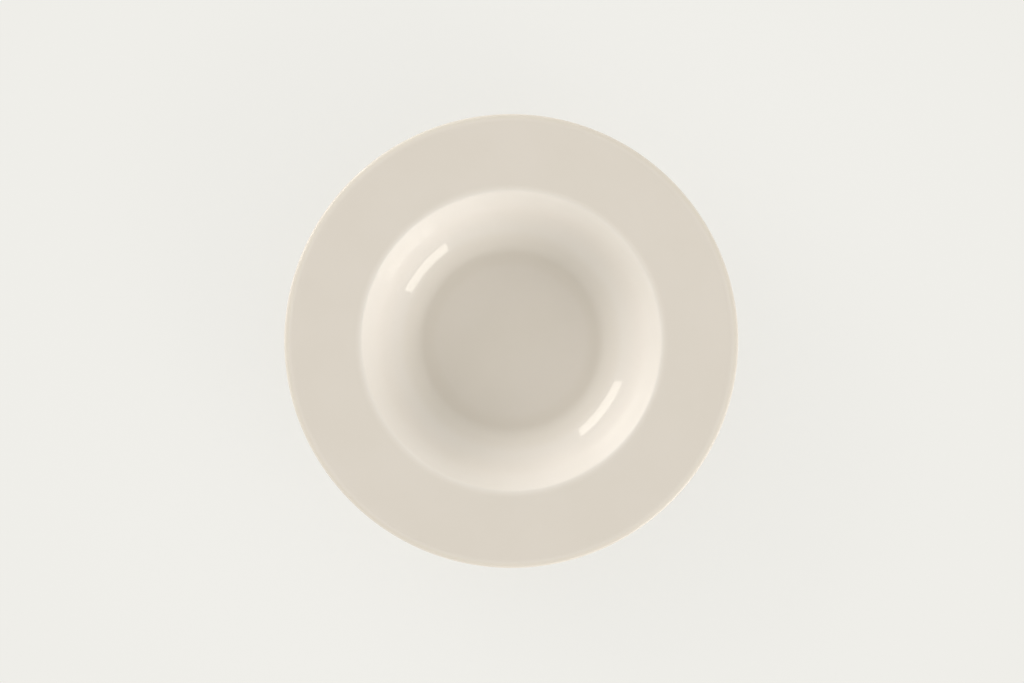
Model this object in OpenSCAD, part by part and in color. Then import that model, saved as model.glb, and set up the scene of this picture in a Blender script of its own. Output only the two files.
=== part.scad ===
// Rimmed soup plate: a pressed porcelain body under two coats of ivory glaze.
// Lengths are in millimetres, and are those of the finished plate with its glaze on.
// The origin is the middle of the face the plate stands on, and +Z is up, out of the well.

/* [Rim] */
// Width of the plate across its rim
plate_d = 230; // [205:1:265]
// Thickness of the rim
rim_t = 4; // [3.4:0.1:5]
// Slope of the rim, rising outwards, in degrees
rim_slope = 5; // [0:0.5:10]
// Radius of the soft roll that lowers the rim's upper face towards its edge
edge_roll_r = 7.3; // [5:0.1:12]
// Radius of the rim's outermost edge
edge_r = 1.55; // [1:0.05:1.7]

/* [Well] */
// Width of the well where its lip has levelled out into the rim
well_d = 159.5; // [140:0.5:180]
// Depth of the well, from where its lip has levelled out to its flat floor
well_depth = 29; // [25:0.5:33]
// Radius of the bend between the floor and the wall
corner_r = 15; // [10:0.5:20]
// Slope at which that bend meets the wall, in degrees
corner_slope = 24; // [18:1:30]
// Slope up to which the wall is one round bowl, in degrees
wall_slope = 55; // [48:1:58]
// Radius of the flatter bend at the top of the wall
upper_wall_r = 95; // [60:1:120]
// Slope of the wall at its steepest, in degrees
steepest_slope = 60.5; // [59:0.5:64]

/* [Lip of the well] */
// Radius of the slow bend by which the wall starts to turn over
lip_start_r = 38; // [20:1:50]
// Slope at which the slow bend meets the crest of the lip, in degrees
lip_start_slope = 55; // [45:1:58]
// Radius of the crest of the lip
lip_crest_r = 2.8; // [2:0.1:5]
// Slope at which the crest meets the run-out, in degrees
lip_end_slope = 25; // [15:1:35]
// Radius of the run-out that levels the lip into the rim
lip_end_r = 9.5; // [6:0.5:14]

/* [Wall and floor] */
// Thickness of the wall below the well
wall_t = 4.6; // [3.8:0.1:5.6]
// Thickness of the floor
floor_t = 4.8; // [4:0.1:6]
// Radius underneath, where the wall bends out into the rim
under_rim_r = 9; // [6:0.5:12]

/* [Foot ring] */
// How far the foot stands outside the flat floor of the well
foot_beyond_floor = 6; // [4:0.5:7.5]
// Width of the foot where it stands
foot_w = 3.6; // [3:0.1:5]
// Height of the hollow inside the foot
foot_h = 3; // [2.4:0.1:4]
// Slope of the foot's sides, in degrees
foot_side_slope = 76; // [65:1:82]
// Radius of the foot's two bottom edges
foot_edge_r = 0.7; // [0.4:0.05:0.9]
// Radius of the bend between the foot and the wall, outside
foot_outer_bend_r = 3; // [2:0.1:4]
// Radius of the bend between the foot and the hollow, inside
foot_inner_bend_r = 2; // [1.5:0.1:2.2]
// Height of the foot that is ground bare of glaze
bare_h = 0.9; // [0.8:0.05:1.1]

/* [Glaze] */
// Thickness of the glaze
glaze_t = 0.25; // [0.15:0.05:0.4]

/* [Hidden] */

// Largest gap between a round bend and the straight facets that draw it
facet_gap = 0.01;
$fn = 180;

// An outline runs clockwise: from the middle of the plate's upper face out to the edge, and
// back underneath. It is made of round bends with straight lines between them. A heading is
// the direction of travel in degrees: 0 is outwards, 90 is up, -90 is down, -180 is inwards.
// A bend turns left where its radius is positive, and right where it is negative.

// Unit vector along a heading
function along(heading) = [cos(heading), sin(heading)];

// Unit vector from the centre of a left bend to its outline, and square to the heading
function arm(heading) = [sin(heading), -cos(heading)];

// Height and width that a bend covers while it turns from one heading to another
function rise(radius, first, last) = radius * (cos(first) - cos(last));
function reach(radius, first, last) = radius * (sin(last) - sin(first));

// Number of facets that draw a bend within the allowed gap
function facets(radius, turn) = ceil(abs(turn) / (2 * acos(1 - facet_gap / abs(radius))));

// Points of a run of bends that follow each other without a straight line. Each bend is
// [radius, heading where it ends]. The points lie outside the finished face by the distance out.
function run(centre, first, bends, out, i = 0) =
    let (radius = bends[i][0], last = bends[i][1], count = facets(radius, last - first))
    concat(
        i > 0 ? [] : [centre + (radius - out) * arm(first)],
        [for (k = [1:count]) centre + (radius - out) * arm(first + (last - first) * k / count)],
        i == len(bends) - 1 ? [] :
            run(centre + (radius - bends[i + 1][0]) * arm(last), last, bends, out, i + 1)
    );

// The point on a line that lies at a distance from a centre: the one ahead if side is 1,
// and the one behind if side is -1
function on_line_from(start, heading, centre, distance, side) =
    let (to_line = (start - centre) * arm(heading))
    centre + to_line * arm(heading) + side * sqrt(distance ^ 2 - to_line ^ 2) * along(heading);

// Heading of a left bend at a point seen from the bend's centre
function heading_at(centre, point) = atan2(point[0] - centre[0], centre[1] - point[1]);

// Well, from its floor to the rim. The bowl takes the height that the other bends leave.
top_bends = [
    [upper_wall_r, steepest_slope],
    [-lip_start_r, lip_start_slope],
    [-lip_crest_r, lip_end_slope],
    [-lip_end_r, rim_slope]
];
top_starts = [wall_slope, steepest_slope, lip_start_slope, lip_end_slope];
top_rises = [for (i = [0:3]) rise(top_bends[i][0], top_starts[i], top_bends[i][1])];
top_reaches = [for (i = [0:3]) reach(top_bends[i][0], top_starts[i], top_bends[i][1])];
bowl_rise = well_depth - rise(corner_r, 0, corner_slope) - top_rises * [1, 1, 1, 1];
bowl_r = bowl_rise / rise(1, corner_slope, wall_slope);
floor_r = well_d / 2 - reach(corner_r, 0, corner_slope) - reach(bowl_r, corner_slope, wall_slope)
    - top_reaches * [1, 1, 1, 1];
floor_z = foot_h + floor_t;
corner_centre = [floor_r, floor_z + corner_r];
bowl_centre = corner_centre + (corner_r - bowl_r) * arm(corner_slope);
well_bends = concat([[corner_r, corner_slope], [bowl_r, wall_slope]], top_bends);

// Edge of the rim. Both of its bends touch the rim's upper face or its underside.
rim_start = [well_d / 2, floor_z + well_depth];
edge_x = plate_d / 2 - edge_r;
edge_centre = [edge_x, rim_start[1] + (edge_x - rim_start[0]) * tan(rim_slope)
    - (rim_t - edge_r) / cos(rim_slope)];
roll_turn = acos((edge_roll_r - rim_t + edge_r) / (edge_roll_r - edge_r));
roll_end = rim_slope - roll_turn;
roll_centre = edge_centre + (edge_roll_r - edge_r) * arm(roll_end);
edge_bends = [[-edge_roll_r, roll_end], [-edge_r, rim_slope - 180]];

// Underside, from the rim's edge to the foot. The wall's outside shares the bowl's centre.
outside_r = bowl_r + wall_t;
under_rim_centre = on_line_from(rim_start + (rim_t + under_rim_r) * arm(rim_slope), rim_slope,
    bowl_centre, outside_r + under_rim_r, 1);
under_rim_end = heading_at(bowl_centre, under_rim_centre) - 180;
foot_r = floor_r + foot_beyond_floor;
foot_heading = foot_side_slope - 180;
foot_bend_centre = on_line_from([foot_r, 0] - (glaze_t + foot_outer_bend_r) * arm(foot_heading),
    foot_side_slope, bowl_centre, outside_r + foot_outer_bend_r, -1);
foot_bend_start = heading_at(bowl_centre, foot_bend_centre) - 180;
under_bends = [
    [under_rim_r, under_rim_end],
    [-outside_r, foot_bend_start],
    [foot_outer_bend_r, foot_heading]
];

// Hollow inside the foot, and the foot's bare sides, which lie under the glaze
hollow_heading = -180 - foot_side_slope;
hollow_centre_z = foot_h - foot_inner_bend_r;
hollow_centre = [foot_r - foot_w - hollow_centre_z / tan(foot_side_slope)
    - (glaze_t + foot_inner_bend_r) / sin(foot_side_slope), hollow_centre_z];
bare_offset = bare_h / tan(foot_side_slope);
bare_outside = [foot_r + bare_offset, bare_h];
bare_inside = [foot_r - foot_w - bare_offset, bare_h];
foot_edge_offset = foot_edge_r * tan(foot_side_slope / 2);

// Face of the plate from its middle down to the bare foot, at a distance outside the finished face
function outer_face(out) = concat(
    [[0, floor_z + out]],
    run(corner_centre, 0, well_bends, out),
    run(roll_centre, rim_slope, edge_bends, out),
    run(under_rim_centre, rim_slope - 180, under_bends, out),
    [bare_outside - (glaze_t + out) * arm(foot_heading)]
);

// Face of the hollow from the bare foot to its middle, at a distance outside the finished face
function base_face(out) = concat(
    [bare_inside - (glaze_t + out) * arm(hollow_heading)],
    run(hollow_centre, hollow_heading, [[foot_inner_bend_r, -180]], out),
    [[0, foot_h - out]]
);

// The part of the foot that has no glaze
foot_face = concat(
    run([foot_r - foot_edge_offset, foot_edge_r], foot_heading, [[-foot_edge_r, -180]], 0),
    run([foot_r - foot_w + foot_edge_offset, foot_edge_r], -180, [[-foot_edge_r, hollow_heading]], 0)
);

// The same points in the other order
function reversed(points) = [for (i = [len(points) - 1:-1:0]) points[i]];

// Pressed and fired body, bare on its foot
module porcelain_body() {
    color("snow")
        rotate_extrude()
            polygon(concat(outer_face(-glaze_t), foot_face, base_face(-glaze_t)));
}

// Glaze on the well, the rim and the underside, down to the outside of the foot
module outer_glaze() {
    color("antiquewhite")
        rotate_extrude()
            polygon(concat(outer_face(0), reversed(outer_face(-glaze_t))));
}

// Glaze in the hollow inside the foot
module base_glaze() {
    color("antiquewhite")
        rotate_extrude()
            polygon(concat(base_face(0), reversed(base_face(-glaze_t))));
}

porcelain_body();
outer_glaze();
base_glaze();
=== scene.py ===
# %% [markdown]
# # A rimmed soup plate
# This notebook dresses a porcelain soup plate for its photograph. The plate is one pressed and
# fired body of clay under two coats of ivory glaze, with a bare ring where it stands. The packed
# model gives the frame: its box says how large everything may be, and its nodes say what each
# piece of the scene stands for.

import math

import bpy
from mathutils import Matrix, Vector


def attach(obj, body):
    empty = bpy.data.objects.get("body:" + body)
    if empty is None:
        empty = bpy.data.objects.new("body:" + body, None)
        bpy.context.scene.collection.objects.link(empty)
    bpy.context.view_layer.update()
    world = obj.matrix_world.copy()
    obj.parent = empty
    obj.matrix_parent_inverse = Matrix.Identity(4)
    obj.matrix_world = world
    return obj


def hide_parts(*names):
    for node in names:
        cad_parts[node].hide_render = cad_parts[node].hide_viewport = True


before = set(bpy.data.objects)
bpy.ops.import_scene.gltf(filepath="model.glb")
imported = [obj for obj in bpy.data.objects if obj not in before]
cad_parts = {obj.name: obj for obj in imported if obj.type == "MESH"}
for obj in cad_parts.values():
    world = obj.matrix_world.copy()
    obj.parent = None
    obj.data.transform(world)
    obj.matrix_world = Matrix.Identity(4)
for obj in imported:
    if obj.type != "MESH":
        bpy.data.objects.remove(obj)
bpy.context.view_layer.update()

# %% [markdown]
# # The sizes of the section
# A plate is turned or pressed against a profile tool, so its whole shape is one section carried
# round an axis. The section is made of round bends and straight lines that run smoothly into
# each other, which is why a few radii and slopes are enough to describe it. They are the sizes
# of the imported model, in metres and degrees.

# %% Sizes of the section
PLATE_RADIUS = 0.115
RIM_THICKNESS = 0.004
RIM_SLOPE = 5
EDGE_ROLL_RADIUS = 0.0073
EDGE_RADIUS = 0.00155
LIP_RADIUS = 0.07975
WELL_DEPTH = 0.029
CORNER_RADIUS = 0.015
CORNER_SLOPE = 24
WALL_SLOPE = 55
UPPER_WALL_RADIUS = 0.095
STEEPEST_SLOPE = 60.5
LIP_START_RADIUS = 0.038
LIP_START_SLOPE = 55
LIP_CREST_RADIUS = 0.0028
LIP_END_SLOPE = 25
LIP_END_RADIUS = 0.0095
WALL_THICKNESS = 0.0046
FLOOR_THICKNESS = 0.0048
UNDER_RIM_RADIUS = 0.009
FOOT_BEYOND_FLOOR = 0.006
FOOT_WIDTH = 0.0036
FOOT_HEIGHT = 0.003
FOOT_SLOPE = 76
FOOT_EDGE_RADIUS = 0.0007
FOOT_OUTER_BEND_RADIUS = 0.003
FOOT_INNER_BEND_RADIUS = 0.002
BARE_HEIGHT = 0.0009
GLAZE_THICKNESS = 0.00025
print("The plate is", 2 * PLATE_RADIUS, "m wide and its well", WELL_DEPTH, "m deep")

# %% [markdown]
# # Directions in the section
# A turner thinks of a profile as slopes and radii, not as points. The helpers below do the same:
# a heading says which way the outline runs, and a bend is a radius between two headings. Points
# could be typed in one by one instead, but then no bend would run smoothly into the next.


# %% Directions in the section
def along(heading):
    """Unit vector along a heading: 0 is outwards, 90 is up, -90 is down."""
    return Vector((math.cos(math.radians(heading)), math.sin(math.radians(heading))))


def arm(heading):
    """Unit vector from the centre of a left bend to its outline."""
    return Vector((math.sin(math.radians(heading)), -math.cos(math.radians(heading))))


def bend_size(radius, first, last):
    """Width and height that a bend covers between two headings."""
    return radius * (arm(last) - arm(first))


def on_line_from(start, heading, centre, distance, side):
    """The point on a line at a distance from a centre, ahead (1) or behind (-1)."""
    to_line = (start - centre).dot(arm(heading))
    half_chord = math.sqrt(distance**2 - to_line**2)
    return centre + to_line * arm(heading) + side * half_chord * along(heading)


def heading_at(centre, point):
    """Heading of a left bend at a point seen from the bend's centre."""
    return math.degrees(math.atan2(point.x - centre.x, centre.y - point.y))


print("Heading of the rim", along(RIM_SLOPE), "and the way down from it", arm(RIM_SLOPE))

# %% [markdown]
# # Where the bends begin and end
# Some radii follow from the others. In the upper face it is the bowl's: it takes the depth that
# the bends of the corner and the lip leave over, and the flat floor takes the width.

# %% Work out the bends of the upper face
lip_bends = [
    (UPPER_WALL_RADIUS, WALL_SLOPE, STEEPEST_SLOPE),
    (-LIP_START_RADIUS, STEEPEST_SLOPE, LIP_START_SLOPE),
    (-LIP_CREST_RADIUS, LIP_START_SLOPE, LIP_END_SLOPE),
    (-LIP_END_RADIUS, LIP_END_SLOPE, RIM_SLOPE),
]
lip_size = sum((bend_size(*bend) for bend in lip_bends), Vector((0, 0)))
corner_size = bend_size(CORNER_RADIUS, 0, CORNER_SLOPE)
bowl_radius = (WELL_DEPTH - corner_size.y - lip_size.y) / bend_size(1, CORNER_SLOPE, WALL_SLOPE).y
bowl_size = bend_size(bowl_radius, CORNER_SLOPE, WALL_SLOPE)
floor_radius = LIP_RADIUS - corner_size.x - bowl_size.x - lip_size.x
floor_height = FOOT_HEIGHT + FLOOR_THICKNESS
corner_centre = Vector((floor_radius, floor_height + CORNER_RADIUS))
bowl_centre = corner_centre + (CORNER_RADIUS - bowl_radius) * arm(CORNER_SLOPE)
rim_start = Vector((LIP_RADIUS, floor_height + WELL_DEPTH))
print("Flat floor radius", round(floor_radius, 6), "bowl radius", round(bowl_radius, 6))

# %% [markdown]
# # The side that nobody sees
# The rim's edge is rolled down a little before it turns round, so that it doesn't chip. Below,
# the wall's outside shares the bowl's centre, which gives the wall one thickness, and the rim's
# underside and the foot run into it without a corner. The foot is a low ring that stands under
# the floor's edge, where it carries the plate while the clay is soft in the kiln.

# %% Work out the edge
edge_x = PLATE_RADIUS - EDGE_RADIUS
edge_height = (
    rim_start.y
    + (edge_x - rim_start.x) * math.tan(math.radians(RIM_SLOPE))
    - (RIM_THICKNESS - EDGE_RADIUS) / math.cos(math.radians(RIM_SLOPE))
)
edge_centre = Vector((edge_x, edge_height))
roll_turn = math.degrees(
    math.acos((EDGE_ROLL_RADIUS - RIM_THICKNESS + EDGE_RADIUS) / (EDGE_ROLL_RADIUS - EDGE_RADIUS))
)
roll_end = RIM_SLOPE - roll_turn
roll_centre = edge_centre + (EDGE_ROLL_RADIUS - EDGE_RADIUS) * arm(roll_end)
print("Edge height", round(edge_height, 6), "rolled down to", round(roll_end, 2), "degrees")

# %% Work out the underside and the foot
outside_radius = bowl_radius + WALL_THICKNESS
under_rim_centre = on_line_from(
    rim_start + (RIM_THICKNESS + UNDER_RIM_RADIUS) * arm(RIM_SLOPE),
    RIM_SLOPE,
    bowl_centre,
    outside_radius + UNDER_RIM_RADIUS,
    1,
)
under_rim_end = heading_at(bowl_centre, under_rim_centre) - 180
foot_radius = floor_radius + FOOT_BEYOND_FLOOR
foot_heading = FOOT_SLOPE - 180
foot_bend_centre = on_line_from(
    Vector((foot_radius, 0)) - (GLAZE_THICKNESS + FOOT_OUTER_BEND_RADIUS) * arm(foot_heading),
    FOOT_SLOPE,
    bowl_centre,
    outside_radius + FOOT_OUTER_BEND_RADIUS,
    -1,
)
foot_bend_start = heading_at(bowl_centre, foot_bend_centre) - 180
hollow_heading = -180 - FOOT_SLOPE
bare_offset = BARE_HEIGHT / math.tan(math.radians(FOOT_SLOPE))
bare_outside = Vector((foot_radius + bare_offset, BARE_HEIGHT))
bare_inside = Vector((foot_radius - FOOT_WIDTH - bare_offset, BARE_HEIGHT))
foot_edge_offset = FOOT_EDGE_RADIUS * math.tan(math.radians(FOOT_SLOPE / 2))
print("Foot radius", round(foot_radius, 6), "wall's outside radius", round(outside_radius, 6))

# %% [markdown]
# # Drawing a section by hand
# A profile is drawn in edit mode from a single vertex: straight stretches by extruding it, and
# bends by spinning it about the bend's centre, as one would with a compass. The pen below keeps
# its place and heading, so each bend starts where the last one ended, and square to the same
# line. Subdivision later halves every step, so the steps here may be rather coarse.


# %% A pen that draws with extrude and spin
class SectionPen:
    """Draws a section in the XZ plane of a new object, clockwise from the plate's axis."""

    def __init__(self, name, place, heading):
        bpy.ops.object.select_all(action="DESELECT")
        bpy.ops.mesh.primitive_plane_add(size=0.001, location=(0, 0, 0))
        self.piece = bpy.context.object
        self.piece.name = name
        self.piece.data.name = name
        self.place = place.copy()
        self.heading = heading
        bpy.ops.object.mode_set(mode="EDIT")
        bpy.ops.mesh.select_mode(type="VERT")
        bpy.ops.mesh.select_all(action="SELECT")
        bpy.ops.mesh.merge(type="CENTER")
        bpy.ops.transform.translate(value=(place.x, 0, place.y))

    def line_to(self, place, steps):
        """Extrudes the last vertex along a straight line, in equal steps."""
        step = (place - self.place) / steps
        for _ in range(steps):
            bpy.ops.mesh.extrude_region_move(
                TRANSFORM_OT_translate={"value": (step.x, 0, step.y)}
            )
        self.place = place.copy()

    def bend(self, radius, heading, steps):
        """Spins the last vertex to a new heading: left for a positive radius, else right."""
        centre = self.place - radius * arm(self.heading)
        bpy.ops.mesh.spin(
            steps=steps,
            angle=math.radians(heading - self.heading),
            center=(centre.x, 0, centre.y),
            axis=(0, 1, 0),
        )
        self.place = centre + radius * arm(heading)
        self.heading = heading

    def carry_round(self, around):
        """Spins the whole section round the plate's axis and closes its seam and poles."""
        bpy.ops.mesh.select_all(action="SELECT")
        bpy.ops.mesh.spin(
            steps=around, angle=2 * math.pi, center=(0, 0, 0), axis=(0, 0, 1)
        )
        bpy.ops.mesh.select_all(action="SELECT")
        bpy.ops.mesh.remove_doubles(threshold=1e-6)
        bpy.ops.mesh.normals_make_consistent(inside=False)
        bpy.ops.object.mode_set(mode="OBJECT")
        bpy.ops.object.shade_smooth()
        return self.piece


# %% [markdown]
# # The faces of the plate
# The clay and the coat on it share their faces, a glaze's thickness apart. So each face is drawn
# by one function that takes how far outside the finished face it lies: 0 for the glaze, and
# minus the glaze's thickness for the clay. Moving every bend's radius by that much keeps the
# two exactly parallel, which scaling a copy wouldn't.


# %% Outer face
def draw_outer_face(pen, out):
    """Well, rim, edge, underside and the outside of the foot, down to where it is bare.

    The last number of each call is that of its steps: more of them where a bend is wide or tight.
    """
    pen.line_to(Vector((floor_radius, floor_height + out)), 12)
    pen.bend(CORNER_RADIUS - out, CORNER_SLOPE, 6)
    pen.bend(bowl_radius - out, WALL_SLOPE, 12)
    pen.bend(UPPER_WALL_RADIUS - out, STEEPEST_SLOPE, 4)
    pen.bend(-LIP_START_RADIUS - out, LIP_START_SLOPE, 3)
    pen.bend(-LIP_CREST_RADIUS - out, LIP_END_SLOPE, 5)
    pen.bend(-LIP_END_RADIUS - out, RIM_SLOPE, 5)
    pen.line_to(roll_centre - (EDGE_ROLL_RADIUS + out) * arm(RIM_SLOPE), 10)
    pen.bend(-EDGE_ROLL_RADIUS - out, roll_end, 6)
    pen.bend(-EDGE_RADIUS - out, RIM_SLOPE - 180, 11)
    pen.line_to(under_rim_centre + (UNDER_RIM_RADIUS - out) * arm(RIM_SLOPE - 180), 6)
    pen.bend(UNDER_RIM_RADIUS - out, under_rim_end, 8)
    pen.bend(-outside_radius - out, foot_bend_start, 8)
    pen.bend(FOOT_OUTER_BEND_RADIUS - out, foot_heading, 6)
    pen.line_to(bare_outside - (GLAZE_THICKNESS + out) * arm(foot_heading), 2)


# %% Face of the hollow inside the foot
hollow_centre_z = FOOT_HEIGHT - FOOT_INNER_BEND_RADIUS
hollow_centre = Vector((
    foot_radius
    - FOOT_WIDTH
    - hollow_centre_z / math.tan(math.radians(FOOT_SLOPE))
    - (GLAZE_THICKNESS + FOOT_INNER_BEND_RADIUS) / math.sin(math.radians(FOOT_SLOPE)),
    hollow_centre_z,
))
print("The hollow's bend turns about", hollow_centre)


def draw_base_face(pen, out):
    """Inside of the foot from where it is bare, and the hollow to its middle."""
    bend_start = hollow_centre + (FOOT_INNER_BEND_RADIUS - out) * arm(hollow_heading)
    pen.line_to(bend_start, 1)
    pen.bend(FOOT_INNER_BEND_RADIUS - out, -180, 5)
    pen.line_to(Vector((0, FOOT_HEIGHT - out)), 12)


# %% [markdown]
# # Thickness and smoothing
# A coat of glaze is drawn as a face without thickness, and Solidify gives it its thickness
# inwards, so its outside stays where it was drawn. Even offset keeps it equal on slopes. The
# modifier is applied, while one level of subdivision stays live on each piece and rounds the
# facets. 96 steps around, 192 after subdivision, are enough for a true circle at this size.

# %% Thickness and smoothing
AROUND = 96


def smooth_finely(piece):
    """One level of subdivision, the same in the viewport and the render."""
    modifier = piece.modifiers.new("finer", "SUBSURF")
    modifier.levels = 1
    modifier.render_levels = 1


def give_thickness(piece, thickness):
    """Thickens a coat inwards, and applies it."""
    modifier = piece.modifiers.new("coat", "SOLIDIFY")
    modifier.thickness = thickness
    modifier.offset = -1
    modifier.use_even_offset = True
    bpy.context.view_layer.objects.active = piece
    bpy.ops.object.modifier_apply(modifier=modifier.name)


def report_piece(piece, last):
    """Prints what was made, and where the pen stopped."""
    piece.data.update()
    radii = [Vector((v.co.x, v.co.y)).length for v in piece.data.vertices]
    heights = [v.co.z for v in piece.data.vertices]
    print(piece.name, len(piece.data.polygons), "faces, radius", round(max(radii), 5),
          "height", round(min(heights), 5), "to", round(max(heights), 5), "pen at", last)


print("Steps around:", AROUND, "as drawn and", 2 * AROUND, "when smoothed")

# %% [markdown]
# # The outer coat of glaze
# The biscuit-fired plate is dipped or sprayed, and the glass melts onto all of it that isn't
# wiped clean again. What shows of the plate is therefore this coat: the well, the rim, its edge
# and the underside, down to the outside of the foot. A shell of its own could also be made by
# duplicating the body's faces, but drawing it leaves its end at the foot a clean ring.

# %% Outer coat of glaze
pen = SectionPen("outer_glaze_coat", Vector((0, floor_height)), 0)
draw_outer_face(pen, 0)
outer_coat = pen.carry_round(AROUND)
give_thickness(outer_coat, GLAZE_THICKNESS)
smooth_finely(outer_coat)
report_piece(outer_coat, pen.place)

# %% [markdown]
# # The glaze in the hollow
# Inside the foot the glaze runs on, cut off from the rest by the bare ring. It is a shallow dish
# of glass, drawn with the same pen from the foot's inside to the middle.

# %% Coat of glaze in the hollow
pen = SectionPen(
    "base_glaze_coat", bare_inside - GLAZE_THICKNESS * arm(hollow_heading), hollow_heading
)
draw_base_face(pen, 0)
base_coat = pen.carry_round(AROUND)
give_thickness(base_coat, GLAZE_THICKNESS)
smooth_finely(base_coat)
report_piece(base_coat, pen.place)

# %% [markdown]
# # The porcelain body
# The body is one closed form: its upper and outer face, the foot's standing face with its two
# small rounded edges, and the hollow. It is drawn in one go from the middle of the well to the
# middle of the hollow, so it needs no joining and no thickening.

# %% Porcelain body
pen = SectionPen("porcelain_biscuit", Vector((0, floor_height - GLAZE_THICKNESS)), 0)
draw_outer_face(pen, -GLAZE_THICKNESS)
foot_outer_centre = Vector((foot_radius - foot_edge_offset, FOOT_EDGE_RADIUS))
foot_inner_centre = Vector((foot_radius - FOOT_WIDTH + foot_edge_offset, FOOT_EDGE_RADIUS))
pen.line_to(foot_outer_centre - FOOT_EDGE_RADIUS * arm(foot_heading), 1)
pen.bend(-FOOT_EDGE_RADIUS, -180, 5)
pen.line_to(foot_inner_centre - FOOT_EDGE_RADIUS * arm(-180), 3)
pen.bend(-FOOT_EDGE_RADIUS, hollow_heading, 5)
pen.line_to(bare_inside, 1)
draw_base_face(pen, -GLAZE_THICKNESS)
biscuit = pen.carry_round(AROUND)
smooth_finely(biscuit)
report_piece(biscuit, pen.place)

# %% [markdown]
# # A short way to write materials
# A shader's sums could be built node by node in the editor. Here a wire, one output of a node,
# can be added, subtracted and multiplied in Python, and each sign places a Math node. All other
# nodes come from one method, and colours go through Mix nodes, which keep their three channels.


# %% A wire
class Wire:
    """One output socket of a node. Arithmetic on it adds Math nodes."""

    def __init__(self, finish, socket):
        self.finish = finish
        self.socket = socket

    def __add__(self, other):
        return self.finish.maths("ADD", self, other)

    def __sub__(self, other):
        return self.finish.maths("SUBTRACT", self, other)

    def __rsub__(self, other):
        return self.finish.maths("SUBTRACT", other, self)

    def __mul__(self, other):
        return self.finish.maths("MULTIPLY", self, other)

    __radd__ = __add__
    __rmul__ = __mul__


# %% A finish
MILLIMETRE = 0.001


def set_stops(elements, stops):
    """Gives a ramp grey stops of (place, level), both from 0 to 1."""
    while len(elements) < len(stops):
        elements.new(0.5)
    for element, (place, grey) in zip(elements, stops):
        element.position = place
        element.color = (grey, grey, grey, 1.0)


class Finish:
    """A material's or a world's node tree, and short ways to add its nodes."""

    def __init__(self, tree):
        self.tree = tree
        tree.nodes.clear()

    def node(self, kind, settings=None, inputs=None, output=0):
        """Adds a node, sets it up, then its sockets, and returns one of its outputs."""
        node = self.tree.nodes.new(kind)
        for name, value in (settings or {}).items():
            if name == "stops":
                set_stops(node.color_ramp.elements, value)
            else:
                setattr(node, name, value)
        for name, value in (inputs or {}).items():
            if isinstance(value, Wire):
                self.tree.links.new(value.socket, node.inputs[name])
            else:
                node.inputs[name].default_value = value
        return Wire(self, node.outputs[output]) if node.outputs else None

    def maths(self, operation, first, second=0.0):
        return self.node("ShaderNodeMath", {"operation": operation}, {0: first, 1: second})

    def smoothly(self, value, zero_at, one_at):
        """A soft step from 0 at one value to 1 at another."""
        inputs = {"Value": value, "From Min": zero_at, "From Max": one_at}
        return self.node("ShaderNodeMapRange", {"interpolation_type": "SMOOTHSTEP"}, inputs)

    def mix(self, factor, first, second):
        """A mix of two colours: the first where the factor is 0."""
        inputs = {0: factor, 6: first, 7: second}
        return self.node("ShaderNodeMix", {"data_type": "RGBA"}, inputs, 2)

    def part_of(self, vector, axis):
        """One of the three numbers of a vector."""
        return self.node("ShaderNodeSeparateXYZ", inputs={0: vector}, output=axis)

    def bumps(self, height):
        """The normal of a surface with bumps, whose height is given in millimetres."""
        return self.node(
            "ShaderNodeBump", inputs={"Height": height, "Strength": 1.0, "Distance": MILLIMETRE}
        )


# %% New materials and colours
def new_finish(name):
    """An empty material and the finish that fills it."""
    material = bpy.data.materials.new(name)
    material.use_nodes = True
    return material, Finish(material.node_tree)


def linear(red, green, blue):
    """A screen colour of 0 to 255 as the linear colour that a shader takes."""
    channels = []
    for level in (red, green, blue):
        level = level / 255
        channels.append(level / 12.92 if level <= 0.04045 else ((level + 0.055) / 1.055) ** 2.4)
    return (*channels, 1.0)


print("A mid grey of 188 is", [round(channel, 3) for channel in linear(188, 188, 188)])

# %% [markdown]
# # Masks on a round piece
# Whatever happened to this plate happened in rings: it was turned, dipped, wiped and ground
# while it went round. So the masks are worked out from how far a point lies from the axis, and
# how near it is to the ring that a bend turns about. They need no painted picture, and they
# read Object coordinates, which stay the same wherever the plate is put.


# %% Masks on a round piece
def place_on_plate(finish):
    """Object coordinates, the distance from the axis and the height of a point."""
    place = finish.node("ShaderNodeTexCoord", output="Object")
    flat = finish.node(
        "ShaderNodeVectorMath", {"operation": "MULTIPLY"}, {0: place, 1: (1.0, 1.0, 0.0)}
    )
    radius = finish.node("ShaderNodeVectorMath", {"operation": "LENGTH"}, {0: flat}, "Value")
    return place, radius, finish.part_of(place, "Z")


def near_ring(finish, radius, height, ring, full_at, none_at):
    """1 within one distance of a ring about the axis, falling softly to 0 at another."""
    across, up = radius - ring.x, height - ring.y
    distance = finish.maths("SQRT", across * across + up * up)
    return finish.smoothly(distance, none_at, full_at)


def noise(finish, place, size, detail):
    """Soft noise whose lumps are about one size across."""
    return finish.node(
        "ShaderNodeTexNoise", inputs={"Vector": place, "Scale": 1 / size, "Detail": detail}
    )


def rings_about_axis(finish, radius, spacing):
    """Uneven rings about the axis, as a tool leaves them on a turning piece."""
    return finish.node(
        "ShaderNodeTexNoise",
        {"noise_dimensions": "1D"},
        {"W": radius * (1 / spacing), "Scale": 1.0, "Detail": 2.0},
    )
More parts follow.
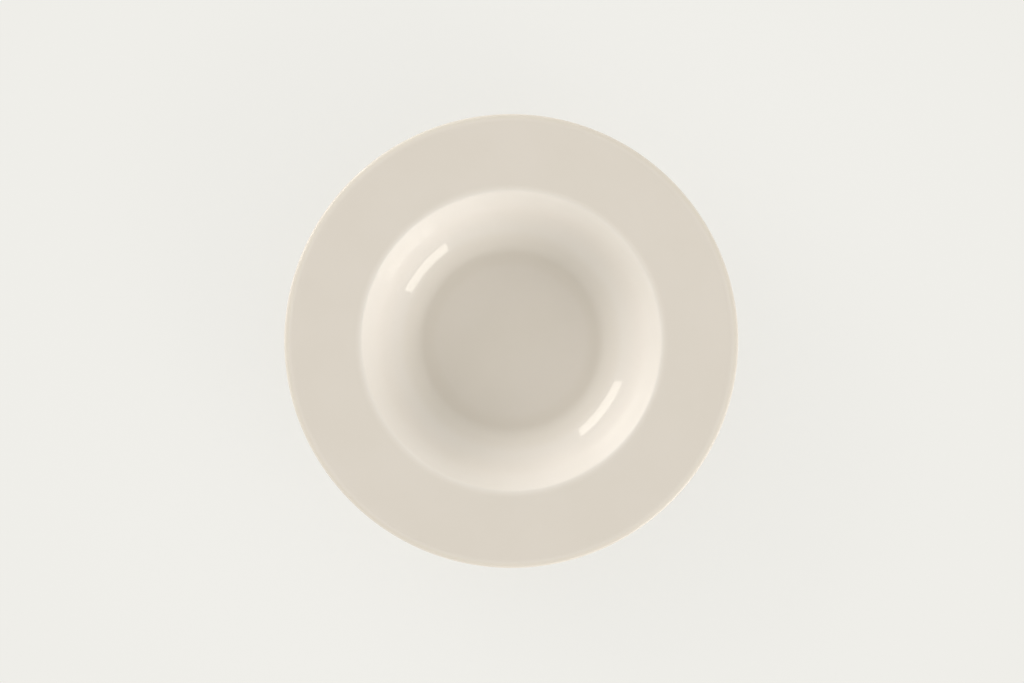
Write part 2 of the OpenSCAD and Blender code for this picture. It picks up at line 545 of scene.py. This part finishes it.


# %% [markdown]
# Where the glaze pools, and the painted shade on its edge
# A clear, glossy glaze with a little iron in it is what makes this plate ivory. It runs while it
# melts, so it lies thicker, and a shade deeper, in the corner of the well and where the foot
# meets the wall. The rim's edge is painted a shade darker and warmer: that is painted shade.
# Across the plate its tone drifts a little, as thickness does after dipping.

# %% Where the glaze pools, and the painted shade on the edge
POOL_FADE = 0.0015
EDGE_SHADE_REACH = 0.0026
CLOUD_SIZE = 0.03
glaze, g = new_finish("ivory_glaze")
place, radius, height = place_on_plate(g)
pooled = g.maths(
    "MAXIMUM",
    *(
        near_ring(g, radius, height, centre, full_at, full_at + POOL_FADE)
        for centre, full_at in (
            (corner_centre, CORNER_RADIUS),
            (foot_bend_centre, FOOT_OUTER_BEND_RADIUS),
        )
    ),
)
# Painted shade: a ring about the rim's edge where its colour is made darker.
painted_edge_shade = near_ring(g, radius, height, edge_centre, EDGE_RADIUS, EDGE_SHADE_REACH)
clouds = noise(g, place, CLOUD_SIZE, 3.0)
# The ring about the edge's centre carries the painted shade.
print("The glaze pools about", corner_centre, "and thins about", edge_centre)

# %% [markdown]
# # The colour of the glaze
# Two close tones of ivory are mixed by the drifting thickness. In the well they are a few levels
# paler than on the rim, which is painted light: light that arrives low is turned away by a real
# glaze before it reaches the clay, and the shader loses more of it in the well than the real
# plate does. Just under the lip the wall is a level darker again, which is painted shade. The
# tones change softly, each between two distances from the axis.

# %% Colour of the glaze
# The well's tones are painted light, paler than the rim's; the tones under the lip are painted
# shade.
RIM_TONES = linear(226.5, 219, 208), linear(228, 220.5, 210)
FLOOR_TONES = linear(233, 225.5, 215), linear(234.5, 227, 217)
WALL_TONES = linear(233.5, 227, 217.5), linear(235, 228.5, 219.5)
UNDER_LIP_SHADE_TONES = linear(232.5, 226.5, 217), linear(234, 228, 219)
POOLED_TONE = linear(231, 223, 211)
# Painted shade on the rim's edge, darker and warmer than the rim.
EDGE_SHADE_TONE = linear(225, 217, 204)
FLOOR_TO_WALL = (0.043, 0.052)
WALL_TO_LIP = (0.066, 0.0725)
RIM_TO_WELL = (0.0785, 0.0755)
FACES_UP = (0.1, 0.3)
POOLED_SHARE = 0.5
facing_up = g.part_of(g.node("ShaderNodeNewGeometry", output="Normal"), "Z")
inside = g.smoothly(radius, *RIM_TO_WELL) * g.smoothly(facing_up, *FACES_UP)
tone = g.smoothly(clouds, 0.3, 0.7)
on_rim = g.mix(tone, *RIM_TONES)
on_floor = g.mix(tone, *FLOOR_TONES)
on_wall = g.mix(tone, *WALL_TONES)
# Painted shade: the wall just under the lip is mixed towards a darker tone.
painted_shade_under_lip = g.mix(tone, *UNDER_LIP_SHADE_TONES)
on_wall = g.mix(g.smoothly(radius, *WALL_TO_LIP), on_wall, painted_shade_under_lip)
in_well = g.mix(g.smoothly(radius, *FLOOR_TO_WALL), on_floor, on_wall)
colour = g.mix(inside, on_rim, in_well)
colour = g.mix(pooled * POOLED_SHARE, colour, POOLED_TONE)
# Painted shade: the rim's edge takes its darker tone.
colour = g.mix(painted_edge_shade, colour, EDGE_SHADE_TONE)
print("Deeper ivory of the rim", [round(channel, 3) for channel in RIM_TONES[0]])

# %% [markdown]
# # The surface of the glaze
# The glaze is level to a few thousandths of a millimetre, which is enough to make the edge of a
# lamp's reflection waver. Underneath, the rings left by turning the clay show through it, and
# its gloss is a little duller. Each kind of bump has a size in metres and a height in
# millimetres, because the bump's distance is one millimetre.

# %% Surface of the glaze
WAVE_SIZE, WAVE_HEIGHT = 0.009, 0.004
RIPPLE_SIZE, RIPPLE_HEIGHT = 0.0022, 0.0002
TURNING_SPACING, TURNING_HEIGHT = 0.0016, 0.008
FACES_DOWN = (0.0, -0.3)
GLOSSIEST, DRIFT, DULLER_BELOW = 0.01, 0.01, 0.06
underneath = g.smoothly(facing_up, *FACES_DOWN)
waves = noise(g, place, WAVE_SIZE, 1.0) * WAVE_HEIGHT
ripples = noise(g, place, RIPPLE_SIZE, 1.0) * RIPPLE_HEIGHT
turning = underneath * rings_about_axis(g, radius, TURNING_SPACING) * TURNING_HEIGHT
roughness = g.smoothly(clouds, 0.25, 0.75) * DRIFT + underneath * DULLER_BELOW + GLOSSIEST
shader = g.node(
    "ShaderNodeBsdfPrincipled",
    inputs={
        "Base Color": colour,
        "Roughness": roughness,
        "IOR": 1.5,
        "Normal": g.bumps(waves + ripples + turning),
    },
)
g.node("ShaderNodeOutputMaterial", inputs={"Surface": shader})
print("The glaze has", len(glaze.node_tree.nodes), "nodes")

# %% [markdown]
# # Bare porcelain
# The foot is wiped clean of glaze before firing, so that the plate doesn't melt onto the kiln
# shelf, and is ground flat afterwards. What shows there is the clay itself, fired dense: matt,
# finely grained, whiter than the glaze, with rings from the grinding wheel and a little grey
# where it has stood and been pushed about.

# %% Bare foot
GRAIN_SIZE, GRAIN_HEIGHT = 0.0004, 0.015
GRINDING_SPACING, GRINDING_HEIGHT = 0.00025, 0.02
WORN_PATCH = 0.005
WORN_UP_TO = 0.00025
WORN_SHARE = 0.5
CLAY_TONES = linear(226, 220, 209), linear(236, 231, 221)
WORN_TONE = linear(176, 170, 160)
MATT, SMOOTHER_WHERE_WORN = 0.85, 0.25
bisque, b = new_finish("bare_porcelain")
place, radius, height = place_on_plate(b)
grain = noise(b, place, GRAIN_SIZE, 3.0)
grinding = rings_about_axis(b, radius, GRINDING_SPACING)
colour = b.mix(grain, *CLAY_TONES)
standing = b.smoothly(height, WORN_UP_TO, 0.0)
worn = standing * b.smoothly(noise(b, place, WORN_PATCH, 4.0), 0.45, 0.7)
colour = b.mix(worn * WORN_SHARE, colour, WORN_TONE)
surface = b.bumps(grain * GRAIN_HEIGHT + grinding * GRINDING_HEIGHT)
roughness = MATT - standing * SMOOTHER_WHERE_WORN
shader = b.node(
    "ShaderNodeBsdfPrincipled",
    inputs={"Base Color": colour, "Roughness": roughness, "Normal": surface},
)
b.node("ShaderNodeOutputMaterial", inputs={"Surface": shader})

for piece, material in ((outer_coat, glaze), (base_coat, glaze), (biscuit, bisque)):
    piece.data.materials.clear()
    piece.data.materials.append(material)
    print(piece.name, "is finished in", material.name)

# %% [markdown]
# # The paper it stands on
# The photograph's background is one even pale tone. Paper that is only lit would be brighter
# towards the lamps, so here it mostly glows by itself, for the camera and in reflections, and
# entirely so further out. Close to the plate a share of it is plain matt paper, which takes the
# plate's soft shadow. That share is largest round the foot, where the shadow is deepest.

# %% Floor
PAPER_COLOUR = linear(251, 251, 249)
PAPER_GLOW_COLOUR = linear(238, 237, 232)
PAPER_RADIUS = 12
PAPER_HEIGHT = -0.0001
FOOT_TO_RIM = (0.07, 0.125)
RIM_TO_FAR = (0.15, 0.42)
GLOW_AT_FOOT, GLOW_AT_RIM = 0.35, 0.78
bpy.ops.object.select_all(action="DESELECT")
bpy.ops.mesh.primitive_circle_add(
    vertices=96, radius=PAPER_RADIUS, fill_type="NGON", location=(0, 0, PAPER_HEIGHT)
)
floor = bpy.context.object
floor.name = "studio_floor"
paper, p = new_finish("pale_paper")
place, radius, height = place_on_plate(p)
straight = p.node("ShaderNodeLightPath", output="Is Camera Ray")
glossy = Wire(p, straight.socket.node.outputs["Is Glossy Ray"])
clear = Wire(p, straight.socket.node.outputs["Is Transmission Ray"])
seen = p.maths("MAXIMUM", p.maths("MAXIMUM", straight, glossy), clear)
glowing = (
    GLOW_AT_FOOT
    + p.smoothly(radius, *FOOT_TO_RIM) * (GLOW_AT_RIM - GLOW_AT_FOOT)
    + p.smoothly(radius, *RIM_TO_FAR) * (1 - GLOW_AT_RIM)
)
matt = p.node("ShaderNodeBsdfDiffuse", inputs={"Color": PAPER_COLOUR})
glow = p.node("ShaderNodeEmission", inputs={"Color": PAPER_GLOW_COLOUR})
both = p.node("ShaderNodeMixShader", inputs={0: seen * glowing, 1: matt, 2: glow})
p.node("ShaderNodeOutputMaterial", inputs={"Surface": both})
floor.data.materials.append(paper)
print("The paper glows", PAPER_GLOW_COLOUR)

# %% [markdown]
# # Lamps
# The plate is lit low from two sides, by softboxes that stand opposite each other. The bright
# face of each strip shows twice on the wall of the well across from it: once straight from the
# lamp, sharp and narrow, and once more by way of the floor. Strips alone would have to be so
# bright that their reflections burn out, so a wide, dimmer softbox stands at each for the rest of
# the light, and is hidden from reflections. A radiance of 1 is that of white paper in full light,
# so the numbers say how bright a thing looks in a reflection.

# %% Softboxes
LAMP_DISTANCE = 2.2
STRIP_LEAN = 12
FACE_TINT = (1.0, 0.95, 0.82)
SPILL_TINT = (0.98, 1.0, 1.12)


def add_softbox(name, azimuth, width, low, high, radiance, tint, lean=0):
    """A softbox that faces the plate. Its sizes are shares of its distance from the plate."""
    direction = along(azimuth)
    width, low, high = (LAMP_DISTANCE * size for size in (width, low, high))
    bpy.ops.object.select_all(action="DESELECT")
    bpy.ops.object.light_add(
        type="AREA", location=(*(LAMP_DISTANCE * direction), (low + high) / 2)
    )
    lamp = bpy.context.object
    lamp.name = name
    lean = math.radians(lean)
    facing = Vector((*(-direction * math.cos(lean)), math.sin(lean)))
    lamp.rotation_euler = facing.to_track_quat("-Z", "Y").to_euler()
    lamp.data.shape = "RECTANGLE"
    lamp.data.size = width
    lamp.data.size_y = high - low
    lamp.data.energy = radiance * math.pi * width * (high - low)
    lamp.data.color = tint
    lamp.visible_camera = False
    print(name, "gives", round(lamp.data.energy, 2), "W")
    return lamp


# Each has its azimuth, width, lower and upper edge, radiance and tint.
add_softbox("strip_front_right", -40.9, 0.535, 0.240, 0.531, 4.0, FACE_TINT, STRIP_LEAN)
add_softbox("strip_back_left", 143.1, 0.585, 0.230, 0.518, 3.95, FACE_TINT, STRIP_LEAN)
for spill in (
    add_softbox("spill_front_right", -41.0, 1.9, 0.11, 0.40, 3.1, SPILL_TINT),
    add_softbox("spill_back_left", 143.3, 1.9, 0.11, 0.45, 2.7, SPILL_TINT),
):
    spill.visible_glossy = False

# %% [markdown]
# # The room
# The rest of the light comes from the pale walls of the room that the lamps stand in, brightest
# at about the height of the lamps' tops and fading towards the dark ceiling, where the camera
# hangs. The ramp below gives that light against the height at which it is seen, in degrees.

# %% Room light
ROOM_COLOUR = (1.0, 0.99, 0.945, 1.0)
ROOM_LIGHT = (
    (-90, 0.86),
    (15, 0.86),
    (20, 0.94),
    (26, 1.06),
    (32, 1.0),
    (40, 0.68),
    (50, 0.65),
    (58, 0.72),
    (66, 0.64),
    (74, 0.2),
    (80, 0.0),
)
room = bpy.data.worlds.new("pale_room")
bpy.context.scene.world = room
room.use_nodes = True
w = Finish(room.node_tree)
direction = w.node("ShaderNodeTexCoord", output="Generated")
rise = w.part_of(direction, "Z")
stops = [(0.5 + 0.5 * math.sin(math.radians(height)), level / 2) for height, level in ROOM_LIGHT]
strength = w.node("ShaderNodeValToRGB", {"stops": stops}, {"Fac": rise * 0.5 + 0.5}) * 2
background = w.node("ShaderNodeBackground", inputs={"Color": ROOM_COLOUR, "Strength": strength})
w.node("ShaderNodeOutputWorld", inputs={"Surface": background})
print("The room's light has", len(ROOM_LIGHT), "steps from below to the ceiling")

# %% [markdown]
# # The camera
# The photograph looks straight down. A long lens from 1.8 m keeps the sides of the well as steep
# as they look there. The frame is the photograph's: the plate's width in pixels, measured at the
# height of its edge, sets the lens, and its centre sets where the camera hangs.

# %% Camera
IMAGE_WIDTH = 1024
PLATE_PIXELS = 454.4
CAMERA_HEIGHT = 1.8
SENSOR_WIDTH = 36
PLATE_CENTRE = (511.3, 341.0)
IMAGE_CENTRE = (512.0, 341.5)
pixel = 2 * PLATE_RADIUS / PLATE_PIXELS
bpy.ops.object.camera_add(
    location=(
        (IMAGE_CENTRE[0] - PLATE_CENTRE[0]) * pixel,
        (PLATE_CENTRE[1] - IMAGE_CENTRE[1]) * pixel,
        CAMERA_HEIGHT,
    ),
    rotation=(0, 0, 0),
)
camera = bpy.context.object
camera.data.sensor_width = SENSOR_WIDTH
camera.data.lens = SENSOR_WIDTH * (CAMERA_HEIGHT - edge_height) / (IMAGE_WIDTH * pixel)
bpy.context.scene.camera = camera
bpy.context.scene.view_settings.view_transform = "Standard"
print("Lens", round(camera.data.lens, 2), "mm, one pixel is", round(pixel * 1000, 3), "mm")

# %% [markdown]
# # Tied to the frame
# Nothing on a plate moves, so every piece rides on the one body. Each stands for the node of the
# imported model whose place it takes.

# %% Tie the pieces to the frame
for piece, node, slot in (
    (outer_coat, "outer_glaze", "glaze"),
    (base_coat, "base_glaze", "glaze"),
    (biscuit, "porcelain_body", "porcelain"),
):
    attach(piece, "root")
    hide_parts(node)
    print(piece.name, "stands for", node)
